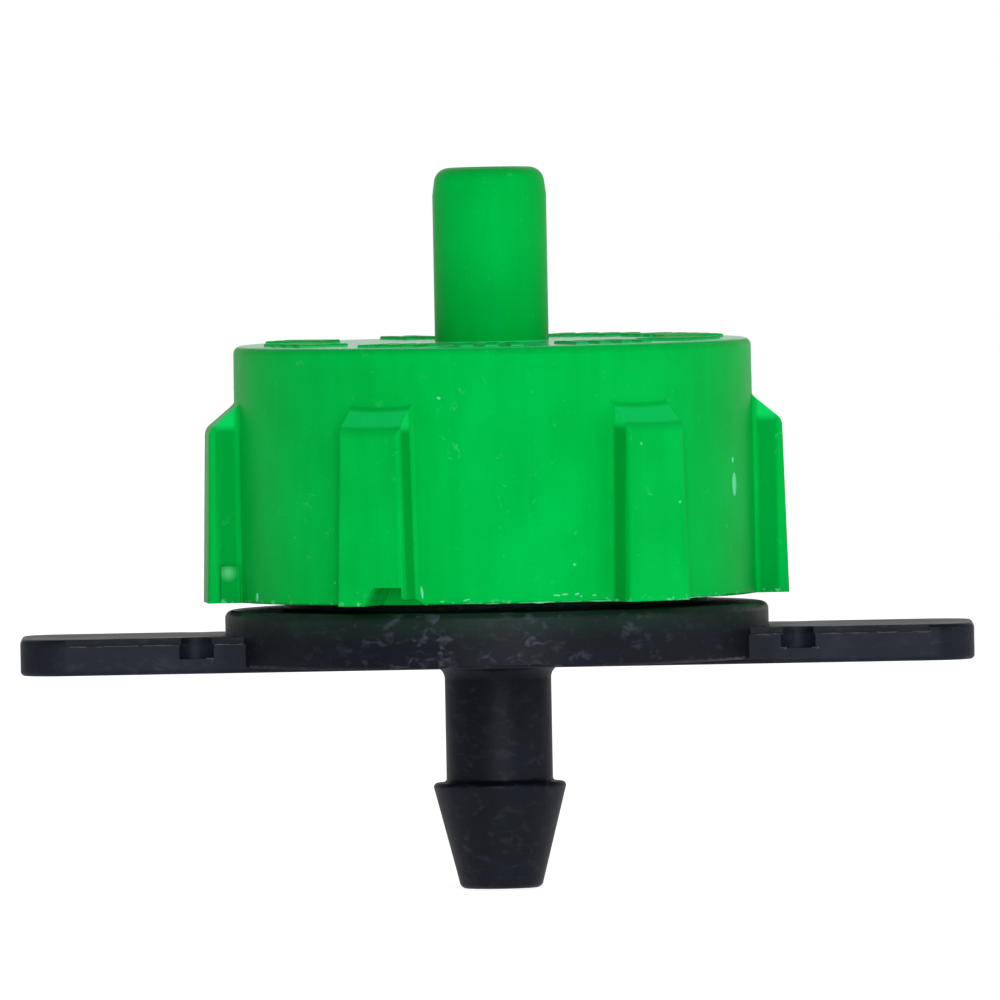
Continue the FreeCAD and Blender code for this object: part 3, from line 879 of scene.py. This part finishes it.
@dataclass
class GreenCap:
    """The green screw cap with what its mould and handling left on it.

    Attributes:
        nicks: The nicks near the rim, pale partly from stress-whitening and partly as painted
            glints.
        droplets: The droplets of cold plastic on the skirt, whose pale colour paints their glint.
        thickness_mm: How far a nick or droplet stands out, at half its thickness.
        flash_radius_mm: The radius at which flash clings to the rim.
        flash_count: How many slivers of flash there are.
        flash_lift_mm: How far over the rim a sliver's middle is.
        flash_length_mm: The range of a sliver's half length.
        flash_depth_mm: A sliver's half depth.
        flash_height_mm: The range of a sliver's half height.
        flash_arcs: The azimuths between which the flash is found.
        skirt_height_mm: The height of the skirt, from the rim to the top plate.
        seed: The seed of the pieces' unevenness.
    """

    nicks: tuple[Lump, ...] = (
        Lump(13.3, 10.37, 0.3, (0.17, 0.035), 4),
        Lump(15.2, 10.37, 0.33, (0.14, 0.04), -3),
        Lump(18.0, 10.37, 0.33, (0.1, 0.045), -20),
        Lump(18.9, 10.37, 0.24, (0.05, 0.035)),
        Lump(22.0, 10.37, 0.27, (0.09, 0.03), 8),
        Lump(26.9, 10.44, 0.5, (0.09, 0.24), 8),
        Lump(27.0, 10.46, 0.34, (0.11, 0.12), 4),
        Lump(-12.0, 10.37, 0.13, (0.1, 0.03)),
        Lump(-6.6, 10.37, 0.18, (0.15, 0.035), -14),
        Lump(-16.5, 10.4, 0.5, (0.06, 0.26), -6),
        Lump(-66.5, 10.38, 0.26, (0.12, 0.2), 3),
    )
    droplets: tuple[Lump, ...] = (
        Lump(67.3, 10.34, 4.42, (0.22, 0.5)),
        Lump(66.6, 10.34, 5.4, (0.1, 0.12)),
        Lump(17.5, 10.36, 1.5, (0.07, 0.06)),
        Lump(-12.0, 10.34, 8.2, (0.09, 0.06), 20),
    )
    thickness_mm: float = 0.035
    flash_radius_mm: float = 10.4
    flash_count: int = 34
    flash_lift_mm: Range = (0.01, 0.05)
    flash_length_mm: Range = (0.1, 0.4)
    flash_depth_mm: float = 0.02
    flash_height_mm: Range = (0.008, 0.018)
    flash_arcs: tuple[Range, ...] = ((-13.0, 25.0), (42.0, 58.0))
    skirt_height_mm: float = 10.19
    seed: int = 7

    def build(self) -> None:
        """Makes the finishes, the nicks, the droplets and the flash, and rides them on the cap."""
        self.rim_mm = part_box(Node.CAP.value)[0].z / MM
        plate_mm = self.rim_mm + self.skirt_height_mm
        self.plastic = MouldedPolypropylene(rim_mm=self.rim_mm, plate_mm=plate_mm).material()
        # Pale plastic for the nicks and the flash: partly stress-whitened plastic, partly painted
        # glints.
        pale = MouldedPolypropylene(
            name="polypropylene_stress_marks_and_glints",
            colour="#8CF8BE",
            deep_colour="#60EEA4",
            roughness=0.32,
        ).material()
        # The droplets' pale mint is a painted glint on their small bumps.
        droplet = MouldedPolypropylene(
            name="polypropylene_droplet_painted_glint",
            colour="#78F6B4",
            deep_colour="#4CEC98",
            roughness=0.25,
        ).material()
        new_piece("cap_rim_nicks", self.fill_nicks, pale, Body.CAP)
        new_piece("cap_cold_droplets", self.fill_droplets, droplet, Body.CAP)
        new_piece("cap_rim_flash", self.fill_flash, pale, Body.CAP)

    def dress(self) -> None:
        """Gives the cap's CAD node its plastic."""
        dress_node(Node.CAP, self.plastic)

    def fill_lumps(
        self,
        shape: Shape,
        lumps: Sequence[Lump],
        unevenness: float,
    ) -> None:
        """Fills a mesh with lumps on the skirt.

        Args:
            shape: The mesh to fill.
            lumps: The lumps.
            unevenness: How far their points stray, as a share of their size.
        """
        rng = random.Random(self.seed)
        for lump in lumps:
            wall = on_wall(lump.azimuth, lump.radius_mm, self.rim_mm + lump.above_rim_mm)
            place = wall @ Matrix.Rotation(math.radians(lump.lean), 4, "Y")
            width, height = lump.half_mm
            add_dome(shape, place, (width, self.thickness_mm, height), rng, unevenness)

    def fill_nicks(self, shape: Shape) -> None:
        """Fills a mesh with the nicks near the rim."""
        self.fill_lumps(shape, self.nicks, 0.1)

    def fill_droplets(self, shape: Shape) -> None:
        """Fills a mesh with the droplets on the skirt."""
        self.fill_lumps(shape, self.droplets, 0.02)

    def fill_flash(self, shape: Shape) -> None:
        """Fills a mesh with thin slivers of flash along the rim."""
        rng = random.Random(self.seed)
        for k in range(self.flash_count):
            low, high = self.flash_arcs[k % len(self.flash_arcs)]
            azimuth = rng.uniform(low, high)
            height = self.rim_mm + rng.uniform(*self.flash_lift_mm)
            wall = on_wall(azimuth, self.flash_radius_mm, height)
            length = rng.uniform(*self.flash_length_mm)
            half = (length, self.flash_depth_mm, rng.uniform(*self.flash_height_mm))
            add_dome(shape, wall, half, rng, 0.1)


@dataclass
class BlackBase:
    """The black base with the burrs along its wings' ledges and at their notches.

    Attributes:
        wall_mm: How far the wings' long walls are from the axis plane.
        ledge_mm: The height of the ledges.
        notch_floor_mm: The height of the notches' floors.
        ledge_runs: The stretches of ledge with burrs, along X.
        notch_corners: Where the notches' floors have burred corners, along X.
        burrs_per_mm: How many burrs there are along a ledge.
        burr_lift_mm: How far from the ledge's height a burr's middle is.
        burr_length_mm: The range of a burr's half length.
        burr_depth_mm: A burr's half depth.
        burr_height_mm: The range of a burr's half height.
        corner_half_mm: The half sizes of the lump at a notch's corner.
        tail_half_mm: The half sizes of the burr that trails from it.
        seed: The seed of the burrs' unevenness.
    """

    wall_mm: float = 4.15
    ledge_mm: float = 5.77
    notch_floor_mm: float = 5.2
    ledge_runs: tuple[Range, ...] = (
        (-17.1, -12.7),
        (-11.2, -10.1),
        (10.1, 11.4),
        (12.75, 17.3),
    )
    notch_corners: tuple[float, ...] = (11.45, 12.74, -11.35)
    burrs_per_mm: float = 6.0
    burr_lift_mm: Range = (-0.03, 0.01)
    burr_length_mm: Range = (0.05, 0.3)
    burr_depth_mm: float = 0.03
    burr_height_mm: Range = (0.008, 0.028)
    corner_half_mm: Triple = (0.07, 0.05, 0.055)
    tail_half_mm: Triple = (0.12, 0.03, 0.02)
    seed: int = 11

    def build(self) -> None:
        """Makes the finishes and the burrs, and rides them on the base."""
        self.plastic = SparkErodedPolyethylene().material()
        # Pale grey for the burrs: partly real burr colour, partly a painted highlight on the
        # ledges' edges and in the notches' corners.
        pale = SparkErodedPolyethylene(
            name="polyethylene_burr_painted_highlight",
            colour="#3C3F48",
            haze_colour="#50535D",
            lighter_wall_and_tip_reflection_colour="#4A4D57",
            fleck_colour="#7A7E88",
            roughness=0.45,
        ).material()
        new_piece("wing_ledge_burrs", self.fill_ledge_burrs, pale, Body.BASE)
        new_piece("wing_notch_burrs", self.fill_notch_burrs, pale, Body.BASE)

    def dress(self) -> None:
        """Gives the base's CAD node its plastic."""
        dress_node(Node.BASE, self.plastic)

    def fill_ledge_burrs(self, shape: Shape) -> None:
        """Fills a mesh with a broken line of thin burrs along every ledge."""
        rng = random.Random(self.seed)
        for side in (-1, 1):
            for low, high in self.ledge_runs:
                for _ in range(round((high - low) * self.burrs_per_mm)):
                    place = Matrix.Translation(Vector((
                        rng.uniform(low, high),
                        side * (self.wall_mm - 0.01),
                        self.ledge_mm + rng.uniform(*self.burr_lift_mm),
                    )) * MM)
                    length = rng.uniform(*self.burr_length_mm)
                    half = (length, self.burr_depth_mm, rng.uniform(*self.burr_height_mm))
                    add_dome(shape, place, half, rng, 0.1)

    def fill_notch_burrs(self, shape: Shape) -> None:
        """Fills a mesh with lumps at the corners of the notches' floors, pale as painted
        highlights.
        """
        rng = random.Random(self.seed)
        for side in (-1, 1):
            for corner in self.notch_corners:
                wall = side * (self.wall_mm - 0.02)
                place = Matrix.Translation(Vector((corner, wall, self.notch_floor_mm)) * MM)
                add_dome(shape, place, self.corner_half_mm, rng, 0.2)
                tail = Matrix.Translation(Vector((0.14 * MM * side, 0, 0.02 * MM))) @ place
                add_dome(shape, tail, self.tail_half_mm, rng, 0.1)


@dataclass
class InnerParts:
    """The flow core, the diaphragm and the seal ring."""

    def build(self) -> None:
        """Makes the finishes of the inner parts."""
        self.finishes = {
            Node.FLOW_CORE: MouldedAcetal().material(),
            Node.DIAPHRAGM: MouldedRubber(
                name="silicone_moulded_clear",
                colour="#C9C4B8",
                bloom="#DAD6CC",
                roughness=0.5,
                depth=0.4,
            ).material(),
            Node.SEAL_RING: MouldedRubber(
                name="nitrile_moulded_black",
                colour="#17181A",
                bloom="#2A2B2D",
                roughness=0.6,
                depth=0.0,
            ).material(),
        }

    def dress(self) -> None:
        """Gives the inner CAD nodes their finishes."""
        for node, material in self.finishes.items():
            dress_node(node, material)


@dataclass(frozen=True)
class SoftLight:
    """One round soft light that points at the part.

    Attributes:
        name: The light's name.
        place: Where it stands, in metres.
        size: Its diameter, in metres.
        power: Its power, in watts.
    """

    name: str
    place: Triple
    size: float
    power: float

    def add(self) -> None:
        """Adds the light to the scene."""
        data = bpy.data.lights.new(self.name, "AREA")
        data.shape = "DISK"
        data.size = self.size
        data.energy = self.power
        light = bpy.data.objects.new(self.name, data)
        light.location = self.place
        light.rotation_euler = Vector(self.place).to_track_quat("Z", "Y").to_euler()
        light.visible_camera = False
        bpy.context.scene.collection.objects.link(light)


@dataclass
class Studio:
    """A white sweep with soft lights and a long lens a little above the wings.

    Attributes:
        elevation: The camera's height over the horizon, in degrees.
        roll: How far the camera leans, in degrees.
        distance_mm: The camera's distance.
        lens_mm: Its focal length.
        sensor_mm: The width of its sensor.
        clip_m: The nearest and furthest distances that it sees, in metres.
        aim_mm: The point it looks at.
        floor_radius_mm: The size of the floor.
        floor_sides: How many sides its round edge is drawn with.
        lights: The soft lights.
        table_glow: How bright the surroundings are below the horizon.
        room_glow: How bright they are above it, behind the camera.
        backdrop_glow: How bright they are above it, behind the part.
        backdrop_edge: Where the backdrop starts and is whole, as the sine of the angle backward.
        horizon_edge: Where the surroundings turn from table to room, as the sine of the height.
    """

    elevation: float = 1.45
    roll: float = 1.05
    distance_mm: float = 1500.0
    lens_mm: float = 1354.0
    sensor_mm: float = 36.0
    clip_m: Range = (0.05, 10.0)
    aim_mm: Triple = (0.21, 0.0, 11.2)
    floor_radius_mm: float = 900.0
    floor_sides: int = 96
    lights: tuple[SoftLight, ...] = (
        SoftLight("key", (0.07, -0.6, 0.12), 0.35, 1.68),
        SoftLight("side_fill", (0.55, -0.2, 0.1), 0.4, 0.36),
    )
    table_glow: float = 0.78
    room_glow: float = 0.26
    backdrop_glow: float = 0.95
    backdrop_edge: Range = (0.6, 0.99)
    horizon_edge: Range = (-0.08, 0.0)

    def build(self) -> None:
        """Makes the camera, the floor, the lights and the white surroundings."""
        self.add_camera()
        self.add_floor()
        for light in self.lights:
            light.add()
        self.add_world()
        view = bpy.context.scene.view_settings
        view.view_transform = "Standard"
        view.look = "None"

    def add_camera(self) -> None:
        """Adds the camera and makes it the scene's."""
        data = bpy.data.cameras.new("camera")
        data.sensor_width = self.sensor_mm
        data.lens = self.lens_mm
        data.clip_start, data.clip_end = self.clip_m
        camera = bpy.data.objects.new("camera", data)
        bpy.context.scene.collection.objects.link(camera)
        rise = math.radians(self.elevation)
        back = Vector((0, -math.cos(rise), math.sin(rise)))
        aim = Vector(self.aim_mm) * MM
        turn = (-back).to_track_quat("-Z", "Y").to_matrix().to_4x4()
        lean = Matrix.Rotation(math.radians(-self.roll), 4, "Z")
        camera.matrix_world = Matrix.Translation(aim + back * self.distance_mm * MM) @ turn @ lean
        bpy.context.scene.camera = camera

    def add_floor(self) -> None:
        """Adds a round pale floor under the lowest point."""
        shape = bmesh.new()
        bmesh.ops.create_circle(
            shape, cap_ends=True, segments=self.floor_sides, radius=self.floor_radius_mm * MM)
        mesh = bpy.data.meshes.new("floor")
        shape.to_mesh(mesh)
        shape.free()
        mesh.materials.append(WhitePaper().material())
        floor = bpy.data.objects.new("floor", mesh)
        floor.location.z = CAD_BOX[0].z
        floor.visible_glossy = False
        floor.visible_diffuse = False
        bpy.context.scene.collection.objects.link(floor)

    def add_world(self) -> None:
        """Adds surroundings that look white and light the part from below, in front and behind."""
        world = bpy.data.worlds.new("white_sweep")
        bpy.context.scene.world = world
        world.use_nodes = True
        tree = world.node_tree
        tree.nodes.clear()
        direction = add_node(tree, "TexCoord", output="Generated")
        across = add_node(tree, "SeparateXYZ", inputs={0: direction}, output="Y")
        above = add_node(tree, "MapRange", SMOOTH, {
            "Value": across, **between(self.backdrop_edge),
            "To Min": self.room_glow, "To Max": self.backdrop_glow})
        glow = add_node(tree, "MapRange", SMOOTH, {
            "Value": across.node.outputs["Z"],
            **between(self.horizon_edge),
            "To Min": self.table_glow, "To Max": above})
        seen = add_node(tree, "LightPath", output="Is Camera Ray")
        strength = add_node(tree, "Mix", inputs={0: seen, 2: glow, 3: 1.0})
        sky = add_node(tree, "Background", inputs={"Color": (1, 1, 1, 1), "Strength": strength})
        add_node(tree, "OutputWorld", inputs={"Surface": sky})


def main() -> None:
    """Builds the studio and every sub-assembly in order and logs each sub-assembly when it is done.
    """
    logging.basicConfig(level=logging.INFO, format="%(name)s: %(message)s")
    Studio().build()
    for assembly in (BlackBase(), InnerParts(), GreenCap()):
        assembly.build()
        assembly.dress()
        LOG.info("%s is built and dressed", type(assembly).__name__)


if __name__ == "__main__":
    main()
